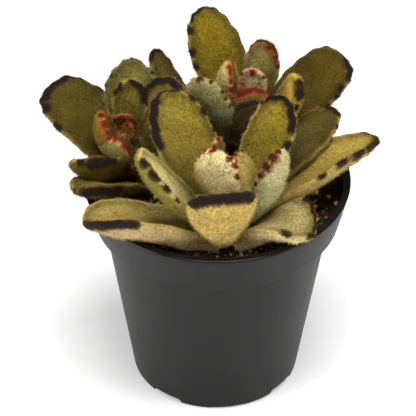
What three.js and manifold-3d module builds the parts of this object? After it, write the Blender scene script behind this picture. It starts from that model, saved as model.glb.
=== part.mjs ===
// A potted panda plant (Kalanchoe tomentosa, the "teddy bear" form): three young rosettes of thick felted
// leaves on short stems, in soil, in a plain round nursery pot. Each leaf is a solid of its own.
// Millimetres, +Z up. The origin is the middle of the pot's underside, +X is to the right, -Y to the front.
import * as THREE from 'three';
import { mergeVertices } from 'three/addons/utils/BufferGeometryUtils.js';
import Module from 'manifold-3d';

const wasm = await Module();
wasm.setup();

// The pot: a tapered wall under a deeper rim band, and a flat underside. Round its foot, four drainage
// notches cut through the corner of the floor, with a shallow hollow in the wall's edge between them.
// POT_TURN is where its first side starts, in degrees, so that none of its corners lies on an axis.
const POT_HEIGHT = 93;
const RIM_RADIUS = 52.5;
const LIP_WIDTH = 3;
const LIP_ROUNDING = 0.6;
const BAND_HEIGHT = 17;
const BAND_FOOT_RADIUS = 48.8;
const BODY_TOP_RADIUS = 45;
const BODY_FOOT_RADIUS = 33.6;
const CORNER_RADIUS = 1.5;
const WALL = 1.4;
const FLOOR = 1.6;
const POT_SIDES = 40;
const POT_TURN = 2;
const NOTCH = { depth: 2.4, reach: 5, halfAngle: 12, first: -126, step: 90 };
const HOLLOW = { depth: 1, reach: 5, halfAngle: 12, first: -81, step: 90 };

// What two pieces that touch keep between them, and what a leaf cut back by its neighbour keeps from it
const GAP = 0.35;
const LEAF_GAP = 0.9;

// The soil: its level, its uneven top, and the bits of bark that lie half sunk in it
const SOIL_LEVEL = 86;
const SOIL_RINGS = 8;
const SOIL_SIDES = 40;
const SOIL_RELIEF = 0.45;
const BARK_BITS = 26;
const BARK_LENGTH = 5;

// Stems stand in plain holes in the soil. Each ends in a growing tip between two bud leaves.
const STEM_RADIUS = 3;
const STEM_SUNK = 12;
const STEM_SIDES = 10;
const STEMS = {
  front: { foot: [5, -30], tip: [4, -26, 110], budTurn: 20 },
  left: { foot: [-27, 2], tip: [-37.5, 5.5, 107], budTurn: 70 },
  back: { foot: [12, 17], tip: [12, 21.3, 116], budTurn: 150 },
};
const BUD = {
  width: 4.5, thick: 2.6, teeth: 2, tooth: 0.2, reach: 3, rise: 9, stand: 0.5, bow: -0.8, cup: 0.3,
};
const BUD_BELOW_TIP = 3;

// A leaf's usual form, which its own values replace.
// widest: share of the length at which it is widest. narrow: width at the foot, as a share of the widest.
// blunt: a smaller value gives a rounder tip. teeth: how many on each side. tooth: their height.
// thick: through the middle. cup: how far the edges stand up, as a share of the half width.
// bow: how far the middle arches up. roll: turn about its length, right edge up. twist: more to the tip.
// stand: from the stem's middle out to the foot. shift: the foot's place to the right of that.
const LEAF = {
  widest: 0.6, narrow: 0.34, blunt: 0.75, teeth: 5, tooth: 0.6, thick: 5, cup: 0.15,
  bow: 0, roll: 0, twist: 0, stand: 3.5, shift: 0,
};

// Each leaf grows from a height on its stem. Its tip lies out at an angle, turn, anticlockwise from +X as
// seen from above, at a reach from the stem and a rise above the foot. Where two leaves press on each
// other, the later one gives way.
const LEAVES = {
  front: [
    { height: 8, turn: 131, reach: 39, rise: 39, width: 27, bow: -2 },
    { height: 8, turn: 52, reach: 33, rise: 40, width: 21, bow: -3 },
    {
      height: 6, turn: 198, reach: 35, rise: 41, width: 20, bow: -3, thick: 6, roll: 5, cup: 0.35,
      blunt: 0.6,
    },
    { height: 7, turn: 348, reach: 18.5, rise: 38, width: 13, bow: -4, roll: 50, cup: 0.3 },
    {
      height: 2, turn: 262, reach: 17, rise: 33, width: 27, bow: -5, roll: -20, cup: 0.3, blunt: 0.4,
      widest: 0.84, narrow: 0.3, tooth: 0.3,
    },
    { height: 15, turn: 240, reach: 7, rise: 30, width: 19, bow: -4, blunt: 0.55 },
    { height: 15, turn: 340, reach: 2, rise: 24, width: 13, bow: -4, stand: 5 },
    {
      height: 22, turn: 140, reach: 5, rise: 21, width: 8, bow: -2, thick: 3, stand: 1,
      teeth: 3, tooth: 0.3,
    },
    {
      height: 1, turn: 188, reach: 56, rise: 13.6, width: 29, bow: 1.4, thick: 6, roll: -20, cup: 0.5,
      blunt: 0.6, stand: 5, shift: -5,
    },
    {
      height: 2, turn: 353, reach: 33, rise: 9.5, width: 24, bow: 3, thick: 7, roll: 40, twist: -58, cup: 0.3,
      blunt: 0.5, narrow: 0.5, shift: 5,
    },
    { height: 4, turn: 30, reach: 66, rise: 20, width: 25, bow: 1.5, roll: 18, cup: 0.45 },
    { height: 13, turn: 49, reach: 63, rise: 13, width: 21, bow: -2, roll: 8 },
  ],
  left: [
    {
      height: 8, turn: 150, reach: 41, rise: 24, width: 29, bow: 2, roll: 6, blunt: 0.55, narrow: 0.62,
      widest: 0.5,
    },
    { height: 13, turn: 91, reach: 28, rise: 27.5, width: 22, bow: -2, blunt: 1.25 },
    {
      height: 6, turn: 50, reach: 18, rise: 36, width: 26, bow: -2, cup: 0.45, stand: 4, shift: 7,
    },
    { height: 11, turn: 183, reach: 12, rise: 23, width: 14.5, bow: -3, cup: 0.55, teeth: 4, tooth: 0.45 },
    {
      height: 12, turn: 230, reach: 9, rise: 16, width: 13.5, bow: -2, thick: 4, stand: 4.5,
      teeth: 3, tooth: 0.4,
    },
    {
      height: 19, turn: 95, reach: 5, rise: 9, width: 10.5, bow: -2, thick: 3, stand: 3.5,
      teeth: 3, tooth: 0.4,
    },
    { height: 9, turn: 216, reach: 25, rise: 14, width: 22, bow: -3, roll: -40, cup: 0.3 },
    { height: 1, turn: 219, reach: 34.5, rise: 14.1, width: 23, bow: 1, roll: -18, cup: 0.35, shift: -4 },
    { height: 17, turn: 84, reach: 16, rise: 21, width: 14.5, bow: -2, roll: 5, teeth: 4 },
    { height: 4, turn: 130, reach: 36, rise: 12, width: 22, bow: 2 },
  ],
  back: [
    { height: 14, turn: 120, reach: 37, rise: 38, width: 23, bow: -2, blunt: 0.9 },
    { height: 22, turn: 62, reach: 14, rise: 27, width: 15, bow: -2 },
    {
      height: 19, turn: 180, reach: 8, rise: 28, width: 14, bow: -2, roll: 5, cup: 0.6, stand: 5,
      teeth: 4, tooth: 0.45,
    },
    {
      height: 20, turn: 75, reach: 6.5, rise: 20, width: 12, bow: -1, thick: 3, stand: 3,
      teeth: 3, tooth: 0.3,
    },
    { height: 20, turn: 277, reach: 6.5, rise: 20, width: 16.5, bow: -3, thick: 4, teeth: 4, tooth: 0.45 },
    { height: 10, turn: 277, reach: 11, rise: 28, width: 18, bow: -3, thick: 4 },
    { height: 14, turn: 0, reach: 19, rise: 27, width: 16, bow: -3, thick: 5.5, roll: -18 },
    { height: 10, turn: 32, reach: 44, rise: 26, width: 30, bow: -2, blunt: 0.55 },
    { height: 12, turn: 213, reach: 21, rise: 37, width: 19, bow: -4, roll: -35 },
    { height: 6, turn: 145, reach: 46, rise: 30, width: 14, bow: -9 },
    { height: 7, turn: 94, reach: 38, rise: 16, width: 20, bow: 2 },
    { height: 2, turn: 60, reach: 32, rise: 9, width: 17, bow: 1.5 },
    { height: 1, turn: 172, reach: 37, rise: 7, width: 19, bow: 1 },
  ],
};

// Rows along a leaf run from 0, the foot, by 1, the widest place, to 2, the tip. Teeth start at FIRST_TOOTH.
const FIRST_TOOTH = 0.7;
const FOOT_ROWS = [0, 0.22, 0.46];
const SECTION_POINTS = 8;
const BROAD_LEAF = 23;
const BROAD_SECTION_POINTS = 12;
const UPPER_SHARE = 0.34;

const RADIANS = Math.PI / 180;
const clamp = (x) => Math.min(1, Math.max(0, x));
const smoothStep = (x) => clamp(x) ** 2 * (3 - 2 * clamp(x));

// A solid from a closed three.js geometry, without the flat triangles at its poles
function solidOf(geometry) {
  geometry.deleteAttribute('normal');
  geometry.deleteAttribute('uv');
  const merged = mergeVertices(geometry, 1e-3);
  const corners = merged.index.array;
  const triangles = [];
  for (let i = 0; i < corners.length; i += 3) {
    const [a, b, c] = corners.slice(i, i + 3);
    if (a !== b && b !== c && c !== a) triangles.push(a, b, c);
  }
  return new wasm.Manifold(new wasm.Mesh({
    numProp: 3,
    vertProperties: new Float32Array(merged.attributes.position.array),
    triVerts: new Uint32Array(triangles),
  }));
}

// The largest body of a solid, without the scraps that a cut may leave
function largestBody(solid) {
  return solid.decompose().reduce((best, body) => (body.volume() > best.volume() ? body : best));
}

function meshFrom(name, solid, material) {
  const { vertProperties, triVerts } = solid.getMesh();
  const geometry = new THREE.BufferGeometry();
  geometry.setAttribute('position', new THREE.BufferAttribute(new Float32Array(vertProperties), 3));
  geometry.setIndex(new THREE.BufferAttribute(new Uint32Array(triVerts), 1));
  geometry.computeVertexNormals();
  const mesh = new THREE.Mesh(geometry, material);
  mesh.name = name;
  return mesh;
}

// A closed skin over rings of points, with a fan from each end point, moved out by grown along its normals.
// A ring runs anticlockwise as seen from the first end.
function closedSkin(rings, firstEnd, lastEnd, grown = 0) {
  const around = rings[0].length;
  const points = [...rings.flat(), firstEnd, lastEnd];
  const first = points.length - 2;
  const last = points.length - 1;
  const triangles = [];
  for (let j = 0; j < around; j += 1) {
    const k = (j + 1) % around;
    triangles.push(first, j, k);
    for (let i = 0; i + 1 < rings.length; i += 1) {
      const low = i * around;
      const high = low + around;
      triangles.push(low + j, high + k, low + k, low + j, high + j, high + k);
    }
    const end = (rings.length - 1) * around;
    triangles.push(last, end + k, end + j);
  }
  const geometry = new THREE.BufferGeometry();
  geometry.setAttribute('position', new THREE.Float32BufferAttribute(points.flat(), 3));
  geometry.setIndex(triangles);
  geometry.computeVertexNormals();
  const { position, normal } = geometry.attributes;
  for (let i = 0; i < position.count; i += 1) {
    const point = new THREE.Vector3().fromBufferAttribute(position, i);
    point.addScaledVector(new THREE.Vector3().fromBufferAttribute(normal, i), grown);
    position.setXYZ(i, ...point);
  }
  return solidOf(geometry);
}

// A point on a stem's middle line, at a height above the soil
function stemPoint(stem, height) {
  const { foot, tip } = STEMS[stem];
  const bottom = new THREE.Vector3(foot[0], foot[1], SOIL_LEVEL);
  return bottom.lerp(new THREE.Vector3(...tip), height / (tip[2] - SOIL_LEVEL));
}

// A leaf's middle line, a parabola from foot to tip, with its right hand and upward directions
function middleLine(stem, leaf) {
  const turn = leaf.turn * RADIANS;
  const out = new THREE.Vector3(Math.cos(turn), Math.sin(turn), 0);
  const right = new THREE.Vector3(Math.sin(turn), -Math.cos(turn), 0);
  const base = stemPoint(stem, leaf.height);
  const foot = base.clone().addScaledVector(out, leaf.stand).addScaledVector(right, leaf.shift);
  const tip = base.clone().addScaledVector(out, leaf.reach).setZ(base.z + leaf.rise);
  const chord = tip.clone().sub(foot);
  const arch = right.clone().cross(chord.clone().normalize());
  const bend = foot.clone().add(tip).multiplyScalar(0.5).addScaledVector(arch, 2 * leaf.bow);
  const at = (u) => {
    const place = foot.clone().multiplyScalar((1 - u) ** 2)
      .addScaledVector(bend, 2 * u * (1 - u)).addScaledVector(tip, u * u);
    const along = bend.clone().sub(foot).multiplyScalar(1 - u)
      .addScaledVector(tip.clone().sub(bend), u).normalize();
    const side = right.clone().addScaledVector(along, -along.dot(right)).normalize();
    const up = side.clone().cross(along);
    const roll = (leaf.roll + leaf.twist * u) * RADIANS;
    return {
      place,
      side: side.clone().multiplyScalar(Math.cos(roll)).addScaledVector(up, Math.sin(roll)),
      up: up.clone().multiplyScalar(Math.cos(roll)).addScaledVector(side, -Math.sin(roll)),
    };
  };
  return { at, length: chord.length() };
}

// A leaf: an obovate outline with rounded teeth, a section that is flatter above and full below with its
// edges turned up, bent along the middle line. grown makes it larger all round.
function leafSolid(stem, values, grown = 0) {
  const leaf = { ...LEAF, ...values };
  const { at, length } = middleLine(stem, leaf);
  const half = leaf.width / 2;
  const points = leaf.width < BROAD_LEAF ? SECTION_POINTS : BROAD_SECTION_POINTS;
  const rows = [...FOOT_ROWS];
  for (let step = 0; step < 2 * leaf.teeth; step += 1) {
    rows.push(FIRST_TOOTH + (2 - FIRST_TOOTH) * step / (2 * leaf.teeth));
  }
  const rings = rows.map((row) => {
    const round = clamp(row - 1) * Math.PI / 2;
    const along = row < 1 ? leaf.widest * row : leaf.widest + (1 - leaf.widest) * Math.sin(round);
    const wide = row < 1
      ? leaf.narrow + (1 - leaf.narrow) * smoothStep(row) ** 0.85
      : Math.cos(round) ** leaf.blunt;
    const thin = row < 1 ? 0.8 + 0.2 * smoothStep(1.3 * row) : Math.cos(round) ** 0.55;
    const toTip = (row - FIRST_TOOTH) / (2 - FIRST_TOOTH);
    const wave = Math.cos(2 * Math.PI * leaf.teeth * (1 - toTip)) * smoothStep(4 * toTip);
    const cup = leaf.cup * (1.35 - 0.7 * along);
    const ring = [];
    for (let j = 0; j < points; j += 1) {
      const across = Math.cos(2 * Math.PI * j / points);
      const high = Math.sin(2 * Math.PI * j / points);
      const bite = leaf.tooth * wave * across ** 4;
      const x = Math.sign(across) * (half * wide * Math.abs(across) ** 0.85 + bite * Math.cos(round));
      const share = high > 0 ? UPPER_SHARE : 1 - UPPER_SHARE;
      const z = share * leaf.thick * thin * Math.sign(high) * Math.abs(high) ** 0.9
        + cup * half * wide * across * across;
      const { place, side, up } = at(along + bite * Math.sin(round) / length);
      ring.push(place.addScaledVector(side, x).addScaledVector(up, z).toArray());
    }
    return ring;
  });
  return closedSkin(rings, at(0).place.toArray(), at(1 + leaf.tooth / length).place.toArray(), grown);
}

// A stem: a round rod from its hole in the soil to a blunt growing tip, with two bud leaves grown into it
function stemSolid(stem, grown = 0) {
  const top = STEMS[stem].tip[2] - SOIL_LEVEL;
  const rows = [[-STEM_SUNK - 2 * grown, 1], [0, 1], [0.55 * top, 0.95], [0.9 * top, 0.8], [top, 0.45]];
  const rings = rows.map(([height, share]) => {
    const middle = stemPoint(stem, height);
    const ring = [];
    for (let j = 0; j < STEM_SIDES; j += 1) {
      const angle = -2 * Math.PI * j / STEM_SIDES;
      const radius = STEM_RADIUS * share;
      ring.push([middle.x + radius * Math.cos(angle), middle.y + radius * Math.sin(angle), middle.z]);
    }
    return ring;
  });
  const bottom = stemPoint(stem, -STEM_SUNK - 2 * grown).toArray();
  const tip = stemPoint(stem, top + STEM_RADIUS / 4).toArray();
  const turns = [STEMS[stem].budTurn, STEMS[stem].budTurn + 180];
  return turns.reduce(
    (whole, turn) => whole.add(leafSolid(stem, { ...BUD, height: top - BUD_BELOW_TIP, turn }, grown)),
    closedSkin(rings, bottom, tip, grown),
  );
}

// The inside of the pot, from the floor up to the lip
const POT_INSIDE = [
  [BODY_FOOT_RADIUS - WALL, FLOOR],
  [BODY_TOP_RADIUS - WALL, POT_HEIGHT - BAND_HEIGHT - WALL],
  [BAND_FOOT_RADIUS - 2 * WALL, POT_HEIGHT - BAND_HEIGHT + WALL],
  [RIM_RADIUS - LIP_WIDTH - LIP_ROUNDING, POT_HEIGHT - 3 * LIP_ROUNDING],
  [RIM_RADIUS - LIP_WIDTH, POT_HEIGHT],
];

// The pot, a closed profile turned about its axis, less the notches and hollows at its foot
function potSolid() {
  const bandFoot = POT_HEIGHT - BAND_HEIGHT;
  const profile = [new THREE.Vector2(0, 0)];
  for (let degrees = 0; degrees <= 90; degrees += 45) {
    const inwards = CORNER_RADIUS * (1 - Math.sin(degrees * RADIANS));
    const upwards = CORNER_RADIUS * (1 - Math.cos(degrees * RADIANS));
    profile.push(new THREE.Vector2(BODY_FOOT_RADIUS - inwards, upwards));
  }
  profile.push(
    new THREE.Vector2(BODY_TOP_RADIUS, bandFoot + LIP_ROUNDING),
    new THREE.Vector2(BAND_FOOT_RADIUS, bandFoot),
    new THREE.Vector2(RIM_RADIUS, POT_HEIGHT - LIP_ROUNDING),
    new THREE.Vector2(RIM_RADIUS - LIP_ROUNDING, POT_HEIGHT),
    ...POT_INSIDE.map(([radius, height]) => new THREE.Vector2(radius, height)).reverse(),
    new THREE.Vector2(0, FLOOR),
  );
  const turned = new THREE.LatheGeometry(profile, POT_SIDES, THREE.MathUtils.degToRad(POT_TURN));
  turned.rotateX(Math.PI / 2);
  let pot = solidOf(turned);
  [NOTCH, HOLLOW].forEach((cut) => {
    for (let turn = cut.first; turn < cut.first + 360; turn += cut.step) {
      pot = pot.subtract(footCut(cut, turn));
    }
  });
  return pot;
}

// A wedge with a rounded top, that cuts inwards through the corner of the pot's foot
function footCut({ depth, reach, halfAngle }, turn) {
  const inner = BODY_FOOT_RADIUS - reach;
  const outer = BODY_FOOT_RADIUS + reach;
  const below = -1;
  const profile = [[-1, 0.45], [-0.8, 1], [0.8, 1], [1, 0.45]];
  const corner = (angle, radius, height) => [radius * Math.cos(angle), radius * Math.sin(angle), height];
  const rings = profile.map(([side, share]) => {
    const angle = (turn + side * halfAngle) * RADIANS;
    const top = depth * share;
    const section = [[inner, below], [outer, below], [outer, top], [inner, top]];
    return section.map((point) => corner(angle, ...point));
  });
  const endAt = (side) => corner((turn + side * halfAngle) * RADIANS, BODY_FOOT_RADIUS, 0);
  return closedSkin(rings, endAt(-1), endAt(1));
}

// Even numbers between 0 and 1 from a fixed seed
function seeded(seed) {
  let state = seed;
  return () => {
    state = (state * 1664525 + 1013904223) % 2 ** 32;
    return state / 2 ** 32;
  };
}

// The uneven top of the soil, a sum of three waves
function soilTop(x, y) {
  const waves = Math.sin(0.31 * x + 1) * Math.cos(0.27 * y)
    + 0.6 * Math.sin(0.83 * x - 0.71 * y) + 0.5 * Math.cos(1.13 * y + 0.4 * x);
  return SOIL_LEVEL + SOIL_RELIEF * waves;
}

// How far the soil reaches to the sides at one height, a gap short of the pot's wall
function soilReach(height) {
  const above = POT_INSIDE.findIndex((point) => point[1] > height);
  const [lowRadius, low] = POT_INSIDE[above - 1];
  const [highRadius, high] = POT_INSIDE[above];
  const radius = lowRadius + (highRadius - lowRadius) * (height - low) / (high - low);
  return radius * Math.cos(Math.PI / POT_SIDES) - 1.5 * GAP;
}

// The soil fills the pot. Bits of bark lie half sunk in its top, which has a hole for each stem and a dent
// under each leaf that rests on it.
function soilSolid(others) {
  const ringAt = (radius, height) => {
    const ring = [];
    for (let j = 0; j < SOIL_SIDES; j += 1) {
      const angle = -2 * Math.PI * j / SOIL_SIDES;
      const x = radius * Math.cos(angle);
      const y = radius * Math.sin(angle);
      ring.push([x, y, height ?? soilTop(x, y)]);
    }
    return ring;
  };
  const bottom = FLOOR + GAP;
  const levels = [bottom, POT_INSIDE[1][1], POT_INSIDE[2][1]];
  const rings = levels.map((height) => ringAt(soilReach(height), height));
  const edge = soilReach(SOIL_LEVEL - 2 * SOIL_RELIEF);
  for (let i = 0; i < SOIL_RINGS; i += 1) rings.push(ringAt(edge * (1 - i / SOIL_RINGS)));
  let soil = closedSkin(rings, [0, 0, bottom], [0, 0, soilTop(0, 0)]);
  const random = seeded(7);
  for (let bit = 0; bit < BARK_BITS; bit += 1) {
    const angle = 2 * Math.PI * random();
    const radius = (edge - BARK_LENGTH) * Math.sqrt(random());
    const x = radius * Math.cos(angle);
    const y = radius * Math.sin(angle);
    const bark = new THREE.IcosahedronGeometry(BARK_LENGTH / 2 * (0.5 + 0.5 * random()), 0);
    bark.scale(1, 0.4 + 0.3 * random(), 0.45);
    bark.rotateZ(Math.PI * random());
    bark.translate(x, y, soilTop(x, y) + 0.2);
    soil = soil.add(solidOf(bark));
  }
  return largestBody(others.reduce((left, solid) => left.subtract(solid), soil));
}

const leafGreen = new THREE.MeshStandardMaterial({ color: 0x7c7a38, roughness: 0.95, metalness: 0 });
const stemBrown = new THREE.MeshStandardMaterial({ color: 0x8b8455, roughness: 0.95, metalness: 0 });
const soilBrown = new THREE.MeshStandardMaterial({ color: 0x2b2118, roughness: 1, metalness: 0 });
const potBlack = new THREE.MeshStandardMaterial({ color: 0x343130, roughness: 0.45, metalness: 0 });

const group = new THREE.Group();
group.add(meshFrom('pot', potSolid(), potBlack));

// Stems come first, then each leaf is cut back to a gap from what is already there
const placed = [];
Object.keys(STEMS).forEach((stem) => {
  group.add(meshFrom(`${stem}_stem`, stemSolid(stem), stemBrown));
  placed.push(stemSolid(stem, GAP));
});
Object.entries(LEAVES).forEach(([stem, leaves]) => {
  leaves.forEach((values, index) => {
    const cut = placed.reduce((left, other) => left.subtract(other), leafSolid(stem, values));
    group.add(meshFrom(`${stem}_leaf_${index + 1}`, largestBody(cut), leafGreen));
    placed.push(leafSolid(stem, values, LEAF_GAP));
  });
});
group.add(meshFrom('soil', soilSolid(placed), soilBrown));

export default group;
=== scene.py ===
import bpy
import numpy as np
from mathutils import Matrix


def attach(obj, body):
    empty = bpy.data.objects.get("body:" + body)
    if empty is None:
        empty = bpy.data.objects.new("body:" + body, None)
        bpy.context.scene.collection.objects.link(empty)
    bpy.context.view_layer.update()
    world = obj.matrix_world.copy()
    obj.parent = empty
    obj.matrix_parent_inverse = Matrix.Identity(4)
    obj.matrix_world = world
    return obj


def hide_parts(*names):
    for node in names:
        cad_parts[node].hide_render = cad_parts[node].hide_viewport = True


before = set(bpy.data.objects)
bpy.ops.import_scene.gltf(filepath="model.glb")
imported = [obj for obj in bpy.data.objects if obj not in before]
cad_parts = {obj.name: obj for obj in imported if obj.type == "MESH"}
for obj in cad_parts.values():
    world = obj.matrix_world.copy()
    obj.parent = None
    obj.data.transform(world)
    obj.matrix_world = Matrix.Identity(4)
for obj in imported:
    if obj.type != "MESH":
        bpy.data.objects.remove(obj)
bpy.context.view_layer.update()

# The pot
# A round nursery pot, injection moulded in black polypropylene: a thin tapered wall, a deeper rim band that
# hands and trays hold it by, and a flat foot with drainage notches moulded through its edge.
POT_HEIGHT = 93
RIM_RADIUS = 52.5
LIP_WIDTH = 3
LIP_ROUNDING = 0.6
SMALL_ROUNDING = 0.5
BAND_HEIGHT = 17
BAND_FOOT_RADIUS = 48.8
BODY_TOP_RADIUS = 45
BODY_FOOT_RADIUS = 33.6
CORNER_RADIUS = 1.5
WALL = 1.4
FLOOR = 1.6
FLOOR_MIDDLE = 4
POT_SIDES = 240
NOTCH = {"depth": 2.4, "reach": 5, "half_angle": 12, "turns": (-126, -36, 54, 144)}
HOLLOW = {"depth": 1, "reach": 5, "half_angle": 12, "turns": (-81, 9, 99, 189)}
POT_BLACK = 0x100F0E
POT_DUST = 0x544E47
GLOSSY_FROM = 92.2
GLOSSY_ALL = 92.6
SHARP_EDGE = np.radians(38)
MILLIMETRE = 0.001


def colour(code):
    """A screen colour, 0xRRGGBB, as linear red, green and blue."""
    parts = np.array([code >> 16 & 255, code >> 8 & 255, code & 255]) / 255
    return np.where(parts > 0.04045, ((parts + 0.055) / 1.055) ** 2.4, parts / 12.92)


def rgba(code):
    return (*colour(code), 1)


class Shade:
    """A socket of a material's nodes. Sums on it add Math nodes, and node adds any other node beside it."""

    def __init__(self, tree, socket=None):
        self.tree = tree
        self.socket = socket

    def node(self, kind, settings=None, inputs=None, output=0):
        made = self.tree.nodes.new(kind)
        for name, value in (settings or {}).items():
            if name == "stops":
                for extra in range(len(value) - 2):
                    made.color_ramp.elements.new(0.5)
                for element, (place, code) in zip(made.color_ramp.elements, value):
                    element.position = place
                    element.color = rgba(code)
            else:
                setattr(made, name, value)
        for name, value in (inputs or {}).items():
            if isinstance(value, Shade):
                self.tree.links.new(value.socket, made.inputs[name])
            else:
                made.inputs[name].default_value = value
        return Shade(self.tree, made.outputs[output])

    def math(self, operation, *values):
        return self.node("ShaderNodeMath", {"operation": operation}, dict(enumerate((self, *values))))

    def __add__(self, other):
        return self.math("ADD", other)

    def __radd__(self, other):
        return self.math("ADD", other)

    def __sub__(self, other):
        return self.math("SUBTRACT", other)

    def __rsub__(self, other):
        return self.node("ShaderNodeMath", {"operation": "SUBTRACT"}, {0: other, 1: self})

    def __mul__(self, other):
        return self.math("MULTIPLY", other)

    def __rmul__(self, other):
        return self.math("MULTIPLY", other)

    def ramp(self, low, high):
        """0 under low and 1 over high, with a smooth rise between them."""
        settings = {"interpolation_type": "SMOOTHSTEP"}
        return self.node("ShaderNodeMapRange", settings, {"Value": self, "From Min": low, "From Max": high})

    def mix(self, first, second, blend="MIX"):
        """Two colours, the first where this is 0 and the second where it is 1."""
        settings = {"data_type": "RGBA", "blend_type": blend}
        return self.node("ShaderNodeMix", settings, {0: self, 6: first, 7: second}, output=2)

    def attribute(self, name, output):
        return self.node("ShaderNodeAttribute", {"attribute_name": name}, output=output)

    def noise(self, scale, detail=3, roughness=0.5, stretch=(1, 1, 1)):
        """Noise on the object's own place, with scale in waves a metre."""
        place = self.node("ShaderNodeTexCoord", output=3)
        placed = self.node("ShaderNodeMapping", inputs={"Vector": place, "Scale": stretch})
        values = {"Vector": placed, "Scale": scale, "Detail": detail, "Roughness": roughness}
        return self.node("ShaderNodeTexNoise", inputs=values)

    def height(self):
        """The place's Z on the object, in metres."""
        place = self.node("ShaderNodeTexCoord", output=3)
        return self.node("ShaderNodeSeparateXYZ", inputs={"Vector": place}, output=2)

    def bump(self, height, strength, distance):
        return self.node(
            "ShaderNodeBump", inputs={"Height": height, "Strength": strength, "Distance": distance}
        )


def new_finish(name):
    """A material, with a Shade to build its nodes from."""
    material = bpy.data.materials.new(name)
    material.use_nodes = True
    return material, Shade(material.node_tree)


def set_finish(material, **values):
    """Puts links and constants on the material's own shader, by socket name with _ for a space."""
    shader = material.node_tree.nodes["Principled BSDF"]
    for name, value in values.items():
        socket = shader.inputs[name.replace("_", " ")]
        if isinstance(value, Shade):
            material.node_tree.links.new(value.socket, socket)
        else:
            socket.default_value = value


def skin(rings, first_end, last_end):
    """Points and faces of a closed skin over a grid of rings, with a fan from each end point. A ring runs
    anticlockwise as seen from the first end."""
    count, around = rings.shape[:2]
    points = np.concatenate([rings.reshape(-1, 3), [first_end], [last_end]])
    low = (np.arange(count - 1)[:, None] * around + np.arange(around)).ravel()
    turned = (np.arange(count - 1)[:, None] * around + (np.arange(around) + 1) % around).ravel()
    quads = np.stack([low, low + around, turned + around, turned], axis=1)
    here = np.arange(around)
    there = (here + 1) % around
    end = (count - 1) * around
    first = np.stack([np.full(around, count * around), here, there], axis=1)
    last = np.stack([np.full(around, count * around + 1), end + there, end + here], axis=1)
    return points, [quads, np.concatenate([first, last])]


def piece(name, points, faces, finish, slot, attributes=None, smooth=True):
    """A mesh that rides on the plant. faces is a list of arrays, each of faces with as many corners. An
    attribute is one number or one colour for each point."""
    mesh = bpy.data.meshes.new(name)
    sizes = np.concatenate([np.full(len(array), array.shape[1]) for array in faces])
    corners = np.concatenate([array.ravel() for array in faces])
    mesh.vertices.add(len(points))
    mesh.vertices.foreach_set("co", np.asarray(points * MILLIMETRE, np.float32).ravel())
    mesh.loops.add(len(corners))
    mesh.loops.foreach_set("vertex_index", corners.astype(np.int32))
    mesh.polygons.add(len(sizes))
    mesh.polygons.foreach_set("loop_start", (np.cumsum(sizes) - sizes).astype(np.int32))
    mesh.update(calc_edges=True)
    mesh.validate()
    mesh.polygons.foreach_set("use_smooth", np.full(len(mesh.polygons), smooth))
    for label, values in (attributes or {}).items():
        values = np.asarray(values, np.float32)
        if values.ndim == 1:
            mesh.attributes.new(label, "FLOAT", "POINT").data.foreach_set("value", values)
        else:
            full = np.concatenate([values, np.ones((len(values), 1), np.float32)], axis=1)
            mesh.attributes.new(label, "FLOAT_COLOR", "POINT").data.foreach_set("color", full.ravel())
    mesh.materials.append(finish)
    made = bpy.data.objects.new(name, mesh)
    bpy.context.collection.objects.link(made)
    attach(made, "root")
    return made


def turned(profile, sides):
    """Rings of a profile of (radius, height) turned about the pot's axis, each anticlockwise from below."""
    radius, height = np.array(profile, float).T
    angle = -2 * np.pi * np.arange(sides) / sides
    x = radius[:, None] * np.cos(angle)
    y = radius[:, None] * np.sin(angle)
    return np.stack([x, y, np.broadcast_to(height[:, None], x.shape)], axis=2)


def rounded(centre, radius, start, stop, steps=6):
    """Points of an arc in a profile, from one angle to another in degrees, with 0 to the outside."""
    angle = np.radians(np.linspace(start, stop, steps))
    return [(centre[0] + radius * np.cos(a), centre[1] + radius * np.sin(a)) for a in angle]


def straight(start, stop, steps):
    """Points of a straight stretch of a profile, without its last."""
    share = np.arange(steps)[:, None] / steps
    return [tuple(point) for point in np.array(start) + share * (np.array(stop) - start)]


def foot_wedge(cut, turn):
    """A wedge with a rounded top that cuts inwards through the corner of the pot's foot."""
    inner = BODY_FOOT_RADIUS - cut["reach"]
    outer = BODY_FOOT_RADIUS + cut["reach"]
    sides = np.array([-1, -0.93, -0.8, 0, 0.8, 0.93, 1])
    tops = cut["depth"] * np.array([0.45, 0.8, 1, 1, 1, 0.8, 0.45])
    angle = np.radians(turn + sides * cut["half_angle"])
    radius = np.array([inner, outer, outer, inner])
    below = np.full(len(sides), -1.0)
    height = np.stack([below, below, tops, tops], axis=1)
    x = radius * np.cos(angle)[:, None]
    y = radius * np.sin(angle)[:, None]
    rings = np.stack([x, y, height], axis=2)
    ends = [(BODY_FOOT_RADIUS * np.cos(a), BODY_FOOT_RADIUS * np.sin(a), 0) for a in angle[[0, -1]]]
    return skin(rings, *ends)


def cut_from(body, cutters):
    """Cuts closed meshes out of a piece for good."""
    for cutter in cutters:
        modifier = body.modifiers.new("cut", "BOOLEAN")
        modifier.operation = "DIFFERENCE"
        modifier.solver = "EXACT"
        modifier.object = cutter
    bpy.context.view_layer.update()
    result = bpy.data.meshes.new_from_object(body.evaluated_get(bpy.context.evaluated_depsgraph_get()))
    body.modifiers.clear()
    body.data = result
    for cutter in cutters:
        bpy.data.objects.remove(cutter, do_unlink=True)


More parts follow.
